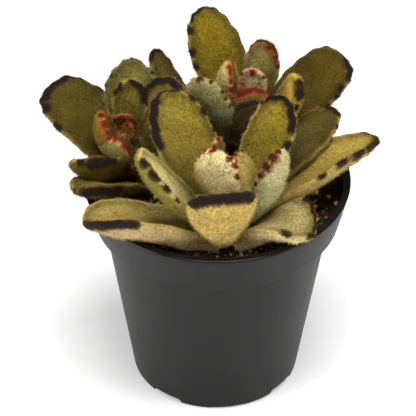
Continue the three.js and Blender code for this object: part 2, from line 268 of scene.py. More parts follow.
pot_plastic, shade = new_finish("pot_plastic")
grain = shade.noise(2600, detail=2)
cloud = shade.noise(60, detail=4, roughness=0.6)
drawn = shade.noise(420, detail=3, stretch=(1, 1, 0.06))
lip = shade.height().ramp(GLOSSY_FROM * MILLIMETRE, GLOSSY_ALL * MILLIMETRE)
scuff = shade.noise(900, detail=6, roughness=0.75).ramp(0.6, 0.74) * cloud.ramp(0.45, 0.7)
dusty = (scuff * 0.3 + cloud.ramp(0.3, 0.8) * 0.04) * (1 - lip)
set_finish(
    pot_plastic,
    Base_Color=dusty.mix(rgba(POT_BLACK), rgba(POT_DUST)),
    Roughness=(0.4 + 0.1 * cloud + 0.22 * scuff + 0.05 * drawn) * (1 - 0.65 * lip),
    Normal=shade.bump(grain * 0.6 + drawn * 0.4, 0.35, 0.00006),
    Specular_IOR_Level=0.2,
)

band_foot = POT_HEIGHT - BAND_HEIGHT
lip_inner = RIM_RADIUS - LIP_WIDTH
inner_ledge = (BAND_FOOT_RADIUS - 2 * WALL, band_foot + WALL)
inner_wall_top = (BODY_TOP_RADIUS - WALL, band_foot - WALL)
pot_profile = [
    *straight((FLOOR_MIDDLE, 0), (BODY_FOOT_RADIUS - CORNER_RADIUS, 0), 8),
    *rounded((BODY_FOOT_RADIUS - CORNER_RADIUS, CORNER_RADIUS), CORNER_RADIUS, -90, 0, 7)[:-1],
    *straight((BODY_FOOT_RADIUS, CORNER_RADIUS), (BODY_TOP_RADIUS, band_foot + LIP_ROUNDING), 26),
    (BODY_TOP_RADIUS, band_foot + LIP_ROUNDING),
    (BODY_TOP_RADIUS + 0.3, band_foot + 0.12),
    *straight((BODY_TOP_RADIUS + 0.8, band_foot), (BAND_FOOT_RADIUS - SMALL_ROUNDING, band_foot), 3),
    *rounded((BAND_FOOT_RADIUS - SMALL_ROUNDING, band_foot + SMALL_ROUNDING), SMALL_ROUNDING, -90, 0, 5),
    *straight((BAND_FOOT_RADIUS + 0.1, band_foot + 1), (RIM_RADIUS, POT_HEIGHT - LIP_ROUNDING), 9),
    *rounded((RIM_RADIUS - LIP_ROUNDING, POT_HEIGHT - LIP_ROUNDING), LIP_ROUNDING, 0, 90, 7),
    *straight((RIM_RADIUS - 1, POT_HEIGHT), (lip_inner + SMALL_ROUNDING, POT_HEIGHT), 3),
    *rounded((lip_inner + SMALL_ROUNDING, POT_HEIGHT - SMALL_ROUNDING), SMALL_ROUNDING, 90, 180, 6),
    *straight((lip_inner - 0.1, POT_HEIGHT - 1), inner_ledge, 6),
    *straight(inner_ledge, inner_wall_top, 3),
    *straight(inner_wall_top, (BODY_FOOT_RADIUS - WALL, FLOOR), 12),
    *straight((BODY_FOOT_RADIUS - WALL, FLOOR), (FLOOR_MIDDLE, FLOOR), 4),
]
pot = piece(
    "pot_shell", *skin(turned(pot_profile, POT_SIDES), (0, 0, 0), (0, 0, FLOOR)), pot_plastic, "pot"
)
wedges = []
for cut in (NOTCH, HOLLOW):
    for turn in cut["turns"]:
        points, faces = foot_wedge(cut, turn)
        wedge = bpy.data.meshes.new("wedge")
        corners = [face.tolist() for array in faces for face in array]
        wedge.from_pydata(points * MILLIMETRE, [], corners)
        wedges.append(bpy.data.objects.new("wedge", wedge))
        bpy.context.collection.objects.link(wedges[-1])
cut_from(pot, wedges)
pot.data.set_sharp_from_angle(angle=SHARP_EDGE)
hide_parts("pot")

# The soil
# Moist peat with bark crumbs and a little pale grit, pressed into the pot to just under the lip. It is one
# closed block with an uneven top, and the crumbs lie half sunk in that.
SOIL_LEVEL = 86
SOIL_RELIEF = 0.45
SOIL_RINGS = 96
SOIL_SIDES = 300
SOIL_EDGE = 49
SOIL_BOTTOM = 2
SOIL_CLEAR = 0.6
LEDGE_CLEAR = 0.4
CRUMBS = 3600
CRUMB_SEED = 11
CRUMB_SMALLEST = 0.32
CRUMB_RANGE = 1.1
CRUMB_COLOURS = (0x1A120B, 0x2B1E12, 0x4A3218, 0x8A6430, 0xB88C48, 0xDCBC78)
CRUMB_SHARES = (0.2, 0.18, 0.2, 0.17, 0.15, 0.1)


def lattice_noise(x, y, cell, seed):
    """Smooth noise from -1 to 1: random heights on a square lattice, with smoothed steps between them."""
    heights = np.random.default_rng(seed).uniform(-1, 1, (256, 256))
    column = np.floor(x / cell).astype(int)
    row = np.floor(y / cell).astype(int)
    s = x / cell - column
    t = y / cell - row
    s = s * s * (3 - 2 * s)
    t = t * t * (3 - 2 * t)

    def corner(i, j):
        return heights[(column + i) % 256, (row + j) % 256]

    low = corner(0, 0) * (1 - s) + corner(1, 0) * s
    high = corner(0, 1) * (1 - s) + corner(1, 1) * s
    return low * (1 - t) + high * t


def soil_top(x, y):
    """The soil's height: a sum of three waves, and crumbs of three sizes on it."""
    waves = np.sin(0.31 * x + 1) * np.cos(0.27 * y)
    waves = waves + 0.6 * np.sin(0.83 * x - 0.71 * y) + 0.5 * np.cos(1.13 * y + 0.4 * x)
    crumbs = 0.35 * lattice_noise(x, y, 2.3, 1) + 0.3 * lattice_noise(x, y, 1.1, 2)
    return SOIL_LEVEL + SOIL_RELIEF * waves + crumbs + 0.16 * lattice_noise(x, y, 0.6, 3)


def random_turns(random, count):
    """Random rotation matrices, from random unit quaternions."""
    q = random.normal(size=(4, count))
    w, x, y, z = q / np.linalg.norm(q, axis=0)
    rows = [
        [1 - 2 * (y * y + z * z), 2 * (x * y - z * w), 2 * (x * z + y * w)],
        [2 * (x * y + z * w), 1 - 2 * (x * x + z * z), 2 * (y * z - x * w)],
        [2 * (x * z - y * w), 2 * (y * z + x * w), 1 - 2 * (x * x + y * y)],
    ]
    return np.moveaxis(np.array(rows), 2, 0)


def lumps(random, places, sizes):
    """Rough lumps, each an icosahedron with its points moved a little, stretched, and turned at random."""
    gold = (1 + 5**0.5) / 2
    corners = [(a, b * gold, 0) for a in (-1, 1) for b in (-1, 1)]
    ball = np.array([np.roll(corner, turn) for turn in range(3) for corner in corners], float)
    ball /= np.linalg.norm(ball[0])
    near = np.linalg.norm(ball[:, None] - ball, axis=2) < 1.1
    faces = []
    for i, j, k in ((i, j, k) for i in range(12) for j in range(i + 1, 12) for k in range(j + 1, 12)):
        if near[i, j] and near[j, k] and near[i, k]:
            outwards = np.cross(ball[j] - ball[i], ball[k] - ball[i]) @ ball[i] > 0
            faces.append((i, j, k) if outwards else (i, k, j))
    count = len(places)
    stretch = random.uniform(0.55, 1.25, (count, 1, 3)) * sizes[:, None, None]
    shaped = ball * stretch * random.uniform(0.82, 1.15, (count, 12, 1))
    points = np.einsum("nij,nkj->nki", random_turns(random, count), shaped) + places[:, None]
    all_faces = np.array(faces) + 12 * np.arange(count)[:, None, None]
    return points.reshape(-1, 3), [all_faces.reshape(-1, 3)]


soil_earth, shade = new_finish("soil_earth")
clods = shade.noise(700, detail=5, roughness=0.65)
fibres = shade.noise(2200, detail=3, roughness=0.6)
earth_stops = ((0.32, 0x0E0905), (0.5, 0x20160D), (0.66, 0x4A351D))
set_finish(
    soil_earth,
    Base_Color=shade.node("ShaderNodeValToRGB", {"stops": earth_stops}, {0: clods * 0.6 + fibres * 0.4}),
    Roughness=0.62 + 0.3 * fibres,
    Normal=shade.bump(clods * 0.5 + fibres, 0.9, 0.0004),
    Specular_IOR_Level=0.25,
)
crumb_bark, shade = new_finish("crumb_bark")
streaks = shade.noise(2600, detail=4, roughness=0.65)
set_finish(
    crumb_bark,
    Base_Color=streaks.ramp(0.3, 0.75).mix(shade.attribute("tone", 0), rgba(0x8A7050), "MULTIPLY"),
    Roughness=0.5 + 0.35 * streaks,
    Normal=shade.bump(streaks, 0.8, 0.0002),
)

# The block's side follows the inside of the pot's wall and of its band's ledge.
side_profile = [
    (BODY_FOOT_RADIUS - WALL - SOIL_CLEAR, SOIL_BOTTOM),
    (BODY_TOP_RADIUS - WALL - SOIL_CLEAR, band_foot - WALL),
    (BAND_FOOT_RADIUS - 2 * WALL - LEDGE_CLEAR, band_foot + WALL),
]
levels = turned(side_profile, SOIL_SIDES)
rings = turned([(SOIL_EDGE * (1 - i / SOIL_RINGS), 0) for i in range(SOIL_RINGS)], SOIL_SIDES)
rings[:, :, 2] = soil_top(rings[:, :, 0], rings[:, :, 1])
middle = soil_top(np.zeros(1), np.zeros(1))[0]
soil = piece(
    "soil_block",
    *skin(np.concatenate([levels, rings]), (0, 0, SOIL_BOTTOM), (0, 0, middle)),
    soil_earth,
    "soil",
)
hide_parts("soil")

random = np.random.default_rng(CRUMB_SEED)
radius = (SOIL_EDGE - 1) * np.sqrt(random.uniform(0, 1, CRUMBS))
angle = random.uniform(0, 2 * np.pi, CRUMBS)
x = radius * np.cos(angle)
y = radius * np.sin(angle)
sizes = CRUMB_SMALLEST + CRUMB_RANGE * random.uniform(0, 1, CRUMBS) ** 3
places = np.stack([x, y, soil_top(x, y) + 0.25 * sizes], axis=1)
kinds = random.choice(len(CRUMB_COLOURS), CRUMBS, p=CRUMB_SHARES)
tones = np.array([colour(code) for code in CRUMB_COLOURS])[kinds] * random.uniform(0.9, 1.7, (CRUMBS, 1))
crumbs = piece(
    "soil_crumbs",
    *lumps(random, places, sizes),
    crumb_bark,
    "soil",
    {"tone": np.repeat(tones, 12, axis=0)},
    smooth=False,
)

# The stems
# Three short felted stems, one to a rosette, that stand in the soil. Each ends in a growing tip between two
# bud leaves, buff with red tips, which have grown on to it and are one piece with it.
STEMS = {
    "front": {"foot": (5, -30), "tip": (4, -26, 110), "bud_turn": 20},
    "left": {"foot": (-27, 2), "tip": (-37.5, 5.5, 107), "bud_turn": 70},
    "back": {"foot": (12, 17), "tip": (12, 21.3, 116), "bud_turn": 150},
}
STEM_RADIUS = 3
STEM_SUNK = 12
STEM_ROWS = 40
STEM_SIDES = 30
STEM_POINT = 0.7
BUD_BELOW_TIP = 3
# A leaf's values are in millimetres and degrees, where they aren't shares.
# height: where a leaf leaves its stem, above the soil. turn: its direction, in degrees from +X.
# reach and rise: from there to its tip, outwards and upwards.
# widest: share of the length at which it is widest. narrow: width at the foot, as a share of the widest.
# blunt: a smaller value gives a rounder tip. teeth: how many on each side. tooth: their height.
# thick: through the middle. cup: how far the edges stand up, as a share of the half width.
# bow: how far the middle arches up. roll: turn about its length, right edge up. twist: more to the tip.
# stand: from the stem's middle out to the foot. shift: the foot's place to the right of that.
# The colours: upper and under are each face's colour with the light and shade on that leaf painted in, darker
# for leaves in shade and paler for lit ones. The edge colour is the red of young margins and a painted golden
# highlight along the edge. foot is painted shade that the colour turns to towards the foot, lighter on leaves
# whose foot is lit, and the colour inside the margin is painted shade in a band there. young is 1 where the
# dark spots are still red.
# spots are (tooth, size) or (tooth, size, inset): teeth count from the tip, + on the right, and inset is in
# millimetres, + on to the upper face. bands are (from tooth, to tooth, inset, half width).
LEAF = {
    "widest": 0.6, "narrow": 0.34, "blunt": 0.75, "teeth": 5, "tooth": 0.6, "thick": 5, "cup": 0.15,
    "bow": 0, "roll": 0, "twist": 0, "stand": 3.5, "shift": 0,
    "upper": 0x86742A, "under": 0xA18F5C, "rim": 0xB39A52, "foot": 0x3A2E08, "margin_shade": 0x3E3310,
    "young": 0, "spots": None, "bands": (),
}
BUD = {
    "width": 4.5, "thick": 2.6, "teeth": 2, "tooth": 0.2, "reach": 3, "rise": 9, "stand": 0.5, "bow": -0.8,
    "cup": 0.3, "upper": 0x8A7A46, "under": 0x9C8C58, "rim": 0xA8683C, "foot": 0x5E5228, "margin_shade": 0x6A5028,
    "young": 1, "spots": [(0, 1.6), (1, 0.9), (-1, 0.9)],
}
OLD_SPOT = 0x1A120D
OLD_HALO = 0x4A3310
YOUNG_SPOT = 0x6A2010
YOUNG_HALO = 0xB4501C
FELT_SHEEN = 0xF0CC70
# Strength and width of the painted shade inside the margin, of the edge colour with its painted highlight,
# and reach and strength of the painted shade towards the foot.
MARGIN_SHADE = {"share": 0.6, "inset": 1.9, "width": 1.8}
RIM_AND_HIGHLIGHT = {"share": 0.8, "width": 0.9}
FOOT_SHADE = {"reach": 0.95, "under": 0.5, "above": 0.44}
BAND_END = 2.2
SPOT = {"share_of_width": 0.06, "least": 0.5, "fade": 0.13}
FIRST_TOOTH = 0.7
UPPER_SHARE = 0.34
TOOTH_SHARE = 0.6
ROW_SPACING = 0.95
POINT_SPACING = 1.05
CLEARANCE = 0.25
PRESS_SEARCH = 4
PRESS_REACH = 5
PLANT_SEED = 5


def smooth_step(x):
    x = np.clip(x, 0, 1)
    return x * x * (3 - 2 * x)


def unit(vectors):
    return vectors / np.linalg.norm(vectors, axis=-1, keepdims=True)


def stem_point(stem, height):
    """A point on a stem's middle line, at a height above the soil."""
    foot = np.array([*STEMS[stem]["foot"], SOIL_LEVEL], float)
    tip = np.array(STEMS[stem]["tip"], float)
    return foot + (tip - foot) * height / (tip[2] - SOIL_LEVEL)


def middle_line(stem, leaf, u):
    """Points of a leaf's middle line, a parabola from the foot, u = 0, to the tip, u = 1, with its right hand
    and upward directions there. Also gives the length."""
    turn = np.radians(leaf["turn"])
    out = np.array([np.cos(turn), np.sin(turn), 0])
    right = np.array([np.sin(turn), -np.cos(turn), 0])
    base = stem_point(stem, leaf["height"])
    foot = base + out * leaf["stand"] + right * leaf["shift"]
    tip = base + out * leaf["reach"] + np.array([0, 0, leaf["rise"]])
    chord = tip - foot
    bend = (foot + tip) / 2 + np.cross(right, unit(chord)) * 2 * leaf["bow"]
    u = np.asarray(u, float)[..., None]
    place = foot * (1 - u) ** 2 + bend * 2 * u * (1 - u) + tip * u * u
    along = unit((bend - foot) * (1 - u) + (tip - bend) * u)
    side = unit(right - along * (along @ right)[..., None])
    up = np.cross(side, along)
    roll = np.radians(leaf["roll"] + leaf["twist"] * u)
    turned_side = side * np.cos(roll) + up * np.sin(roll)
    return place, turned_side, up * np.cos(roll) - side * np.sin(roll), np.linalg.norm(chord)


def leaf_blade(stem, leaf, random):
    """A leaf's rings. Rows run from 0, the foot, by 1, the widest place, to 2, the tip. The outline widens
    smoothly to the widest row and closes there on a power of a cosine, with a cosine wave for the teeth. The
    section is a squashed round, flatter above, its edges raised by the square of the way out to them."""
    length = middle_line(stem, leaf, 0)[3]
    half = leaf["width"] / 2
    inner_rows = int(length * leaf["widest"] / ROW_SPACING)
    outer_rows = int((length * (1 - leaf["widest"]) + half) / ROW_SPACING)
    around = 2 * int(leaf["width"] / POINT_SPACING) + 20
    to_tip = np.arange(outer_rows) / outer_rows
    row = np.concatenate([np.arange(inner_rows) / inner_rows, 2 - (1 - to_tip) ** 1.8])[:, None]
    closing = np.clip(row - 1, 0, 1) * np.pi / 2
    along = np.where(
        row < 1, leaf["widest"] * row, leaf["widest"] + (1 - leaf["widest"]) * np.sin(closing)
    )
    wide = np.where(
        row < 1,
        leaf["narrow"] + (1 - leaf["narrow"]) * smooth_step(row) ** 0.85,
        np.cos(closing) ** leaf["blunt"],
    )
    thin = np.where(row < 1, 0.8 + 0.2 * smooth_step(1.3 * row), np.cos(closing) ** 0.55)
    toothed = (row - FIRST_TOOTH) / (2 - FIRST_TOOTH)
    wave = np.cos(2 * np.pi * leaf["teeth"] * (1 - toothed)) * smooth_step(4 * toothed)
    cup = leaf["cup"] * (1.35 - 0.7 * along)

    angle = 2 * np.pi * np.arange(around) / around
    reach = np.cos(angle)
    across = np.sign(reach) * np.abs(reach) ** (1 / 0.85)
    high = np.sign(np.sin(angle)) * np.sqrt(np.clip(1 - across**2, 0, 1))
    uneven = random.uniform(0.6, 1.3, (2, leaf["teeth"] + 2))
    tooth_number = np.clip(leaf["teeth"] * (1 - toothed), 0, leaf["teeth"] + 1)
    left = np.interp(tooth_number, np.arange(leaf["teeth"] + 2), uneven[0])
    right = np.interp(tooth_number, np.arange(leaf["teeth"] + 2), uneven[1])
    bite = TOOTH_SHARE * leaf["tooth"] * wave * across**4 * np.where(reach > 0, right, left)
    x = half * wide * reach + np.sign(reach) * bite * np.cos(closing)
    share = np.where(high > 0, UPPER_SHARE, 1 - UPPER_SHARE)
    z = share * leaf["thick"] * thin * np.sign(high) * np.abs(high) ** 0.9 + cup * half * wide * across**2
    furrow = 0.07 * leaf["thick"] * np.exp(-((reach / 0.16) ** 2)) * smooth_step(2.4 * (1 - along))
    z = z - np.where(high > 0, furrow, 0)
    phase = random.uniform(0, 2 * np.pi, 3)
    ripple = np.sin(9 * along + 2.1 * reach + phase[0]) + 0.8 * np.sin(15 * along - 3.3 * reach + phase[1])
    z = z + 0.012 * leaf["width"] * (ripple + 0.5 * np.sin(24 * along + 4 * reach + phase[2]))
    u = along + bite * np.sin(closing) / length
    place, side, up, length = middle_line(stem, leaf, u)
    rings = place + side * x[..., None] + up * z[..., None]
    tip = 1 + TOOTH_SHARE * leaf["tooth"] / length
    ends = [middle_line(stem, leaf, end)[0] for end in (0, tip)]
    return {
        "leaf": leaf, "rings": rings, "ends": ends, "along": along[:, 0], "high": high,
        "toothed": toothed[:, 0],
    }


def ring_normals(blade):
    """Outward unit normals of a blade's rings, from the steps around and along it."""
    rings = blade["rings"]
    around = np.roll(rings, -1, axis=1) - np.roll(rings, 1, axis=1)
    ahead = np.concatenate([rings[1:], [np.broadcast_to(blade["ends"][1], rings[0].shape)]])
    behind = np.concatenate([[np.broadcast_to(blade["ends"][0], rings[0].shape)], rings[:-1]])
    normals = np.cross(ahead - behind, around)
    return normals / np.maximum(np.linalg.norm(normals, axis=2, keepdims=True), 1e-9)


def press_clear(blade, others):
    """Moves the points of a blade that lie inside others, or too near, out along the other's normal at the
    nearest point, so that a leaf which presses on its neighbour is dented by it."""
    rings = blade["rings"]
    flat = rings.reshape(-1, 3)
    for points, normals in others:
        low = points.min(axis=0) - CLEARANCE
        high = points.max(axis=0) + CLEARANCE
        inside = np.flatnonzero(((flat > low) & (flat < high)).all(axis=1))
        if not len(inside):
            continue
        mine = flat[inside]
        low = mine.min(axis=0) - PRESS_SEARCH
        high = mine.max(axis=0) + PRESS_SEARCH
        near = ((points > low) & (points < high)).all(axis=1)
        theirs = points[near]
        if not len(theirs):
            continue
        facing = normals[near]
        squares = (mine**2).sum(axis=1)[:, None] + (theirs**2).sum(axis=1) - 2 * mine @ theirs.T
        nearest = squares.argmin(axis=1)
        depth = ((mine - theirs[nearest]) * facing[nearest]).sum(axis=1)
        close = squares[np.arange(len(mine)), nearest] < PRESS_REACH**2
        push = np.where(close, np.clip(CLEARANCE - depth, 0, None), 0)
        flat[inside] += facing[nearest] * push[:, None]
    blade["rings"] = flat.reshape(rings.shape)


def margin_places(blade):
    """For each point of a blade, in millimetres: how far along the margin its nearest margin point is from
    the tip, + on the right, and how far off that it lies, + on the upper side. Also gives a function from a
    tooth's number to its place along the margin."""
    rings = blade["rings"]
    around = rings.shape[1]
    right = rings[::-1, 0]
    left = rings[::-1, around // 2]
    tip = blade["ends"][1]
    margins = []
    for sign, line in ((1, right), (-1, left)):
        steps = np.linalg.norm(np.diff(np.concatenate([[tip], line]), axis=0), axis=1)
        margins.append((line, sign * np.cumsum(steps)))
    line = np.concatenate([margins[0][0], margins[1][0]])
    places = np.concatenate([margins[0][1], margins[1][1]])
    flat = rings.reshape(-1, 3)
    squares = (flat**2).sum(axis=1)[:, None] + (line**2).sum(axis=1) - 2 * flat @ line.T
    nearest = squares.argmin(axis=1)
    off = np.sqrt(np.clip(squares[np.arange(len(flat)), nearest], 0, None))
    side = np.where(blade["high"] >= 0, 1, -1)
    number = blade["leaf"]["teeth"] * (1 - blade["toothed"][::-1])

    def tooth_place(tooth):
        lengths = np.abs(margins[0 if tooth > 0 else 1][1])
        return float(np.interp(abs(tooth), number, lengths)) * np.sign(tooth)

    shape = rings.shape[:2]
    return places[nearest].reshape(shape), off.reshape(shape) * side, tooth_place


def spot_field(blade, random):
    """1 in the middle of a dark spot, 0 on its edge, and less outside, for each point of a blade."""
    leaf = blade["leaf"]
    place, off, tooth_place = margin_places(blade)
    field = np.full(place.shape, -1.0)
    spots = leaf["spots"]
    if spots is None:
        size = SPOT["share_of_width"] * leaf["width"] + SPOT["least"]
        spots = [(0, 1.1 * size)]
        for tooth in range(1, leaf["teeth"]):
            fade = 1 - SPOT["fade"] * tooth
            for side in (1, -1):
                spots.append((side * tooth, size * fade * random.uniform(0.8, 1.2)))
    for spot in spots:
        tooth, size = spot[:2]
        inset = spot[2] if len(spot) > 2 else 0.25 * size
        far = np.hypot((place - tooth_place(tooth)) / size, (off - inset) / (1.05 * size))
        field = np.maximum(field, 1 - far)
    for start, stop, inset, half in leaf["bands"]:
        first, last = sorted((tooth_place(start), tooth_place(stop)))
        past = np.maximum(np.maximum(first - place, place - last), 0)
        field = np.maximum(field, 1 - np.hypot(past / BAND_END, (off - inset) / half))
    return np.clip(field, -1, 1), off


def leaf_tones(blade, off):
    """A leaf's colour at each point: its upper or under side, with painted shade in a bell curve inside the
    margin, the edge colour in another on its very edge, a painted highlight and the red of young leaves, and
    painted shade turning to the foot's colour along its length."""
    leaf = blade["leaf"]
    above = smooth_step(0.5 + 0.9 * off / 1.2)[..., None]
    tone = colour(leaf["under"]) * (1 - above) + colour(leaf["upper"]) * above
    # Painted shade in a band inside the margin, on the upper side.
    margin_shade = MARGIN_SHADE["share"] * np.exp(-(((np.abs(off) - MARGIN_SHADE["inset"]) / MARGIN_SHADE["width"]) ** 2))[..., None] * above
    tone = tone * (1 - margin_shade) + colour(leaf["margin_shade"]) * margin_shade
    # The edge colour on the very edge: a painted highlight along the edge, and the red of young margins.
    rim = RIM_AND_HIGHLIGHT["share"] * np.exp(-((off / RIM_AND_HIGHLIGHT["width"]) ** 2))[..., None]
    tone = tone * (1 - rim) + colour(leaf["rim"]) * rim
    # Painted shade towards the foot, in the foot's colour, stronger on the upper side.
    foot = smooth_step(1 - blade["along"] / FOOT_SHADE["reach"])[:, None, None]
    foot = foot * (FOOT_SHADE["under"] + FOOT_SHADE["above"] * above)
    return tone * (1 - foot) + colour(leaf["foot"]) * foot


def leaf_finish(name, bumpy):
    """Felt: the leaf's tones, with the light and shade painted in them, under a fine mottle of lit and shaded
    hairs, with ragged dark spots that have a warm edge."""
    material, shade = new_finish(name)
    fine = shade.noise(2400, detail=3, roughness=0.6)
    patches = shade.noise(170, detail=3)
    ragged = shade.attribute("spot", 2) + (shade.noise(650, detail=5, roughness=0.7) - 0.5) * 1.5
    young = shade.attribute("young", 2)
    tufts = shade.noise(1150, detail=2, roughness=0.6)
    mottle = 1 + (fine - 0.5) * 1.9 + (tufts - 0.5) * 2.2 + (patches - 0.5) * 0.8
    tone_and_painted_light = shade.attribute("tone", 0)
    tone = shade.node("ShaderNodeVectorMath", {"operation": "SCALE"}, {"Vector": tone_and_painted_light, "Scale": mottle})
    halo = young.mix(rgba(OLD_HALO), rgba(YOUNG_HALO))
    heart = young.mix(rgba(OLD_SPOT), rgba(YOUNG_SPOT))
    toned = (ragged.ramp(-0.55, 0.1) * 0.85).mix(tone, halo)
    spotted = ragged.ramp(-0.2, 0.45).mix(toned, heart)
    set_finish(
        material,
        Base_Color=spotted,
        Roughness=0.85,
        Sheen_Weight=0.14,
        Sheen_Roughness=0.45,
        Sheen_Tint=rgba(FELT_SHEEN),
        Specular_IOR_Level=0.15,
    )
    if bumpy:
        set_finish(material, Normal=shade.bump(fine + tufts, 0.8, 0.0004))
    return material


def stalk(stem):
    """The rings of a stem's round rod, which narrows to a blunt growing tip."""
    top = STEMS[stem]["tip"][2] - SOIL_LEVEL
    share = np.linspace(0, 1, STEM_ROWS)
    height = -STEM_SUNK + (top + STEM_SUNK) * share
    radius = STEM_RADIUS * np.interp(height / top, [0, 0.55, 0.9, 1], [1, 0.95, 0.8, 0.45])
    angle = -2 * np.pi * np.arange(STEM_SIDES) / STEM_SIDES
    knobs = 1 + 0.04 * np.sin(5 * angle + 0.9 * height[:, None])
    middle = np.array([stem_point(stem, h) for h in height])[:, None]
    level = np.stack([np.cos(angle), np.sin(angle), np.zeros(STEM_SIDES)], axis=1)
    rings = middle + level * (radius[:, None] * knobs)[..., None]
    # The stem is coloured all over in the leaves' foot colour, which is painted shade.
    tone = np.broadcast_to(colour(LEAF["foot"]), rings.shape)
    return {
        "leaf": LEAF, "rings": rings, "spot": np.full(rings.shape[:2], -1.0), "tone": tone,
        "ends": [stem_point(stem, -STEM_SUNK), stem_point(stem, top + STEM_POINT)],
    }


def felted(blade, random):
    """Adds a blade's normals, and its spots and tones where it has none yet."""
    blade["normals"] = ring_normals(blade)
    if "spot" not in blade:
        blade["spot"], off = spot_field(blade, random)
        blade["tone"] = leaf_tones(blade, off)
    return blade


def felted_piece(name, blades, node):
    """One piece of one or more closed blades, with their spots and tones at each point."""
    points, quads, ends, spots, tones, young = [], [], [], [], [], []
    for blade in blades:
        skin_points, (skin_quads, skin_ends) = skin(blade["rings"], *blade["ends"])
        first = sum(map(len, points))
        points.append(skin_points)
        quads.append(skin_quads + first)
        ends.append(skin_ends + first)
        spot, tone = blade["spot"], blade["tone"]
        spots.append(np.concatenate([spot.ravel(), [spot[0].mean(), spot[-1].mean()]]))
        end_tones = [tone[0].mean(axis=0), tone[-1].mean(axis=0)]
        tones.append(np.concatenate([tone.reshape(-1, 3), end_tones]))
        young.append(np.full(len(skin_points), blade["leaf"]["young"], float))
    attributes = {
        "spot": np.concatenate(spots),
        "tone": np.concatenate(tones),
        "young": np.concatenate(young),
    }
    faces = [np.concatenate(quads), np.concatenate(ends)]
    slot = "stem" if "stem" in node else "leaf"
    made = piece(name, np.concatenate(points), faces, leaf_felt, slot, attributes)
    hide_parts(node)


leaf_felt = leaf_finish("leaf_felt", bumpy=True)
hair_felt = leaf_finish("hair_felt", bumpy=False)

random = np.random.default_rng(PLANT_SEED)
pressing = []
blades = {}
for stem, values in STEMS.items():
    rod = felted(stalk(stem), random)
    blades[stem] = [rod]
    for turn in (values["bud_turn"], values["bud_turn"] + 180):
        bud = {**LEAF, **BUD, "height": values["tip"][2] - SOIL_LEVEL - BUD_BELOW_TIP, "turn": turn}
        blades[stem].append(felted(leaf_blade(stem, bud, random), random))
    for blade in blades[stem]:
        pressing.append((blade["rings"].reshape(-1, 3), blade["normals"].reshape(-1, 3)))
    felted_piece(f"{stem}_stem_felted", blades[stem], f"{stem}_stem")

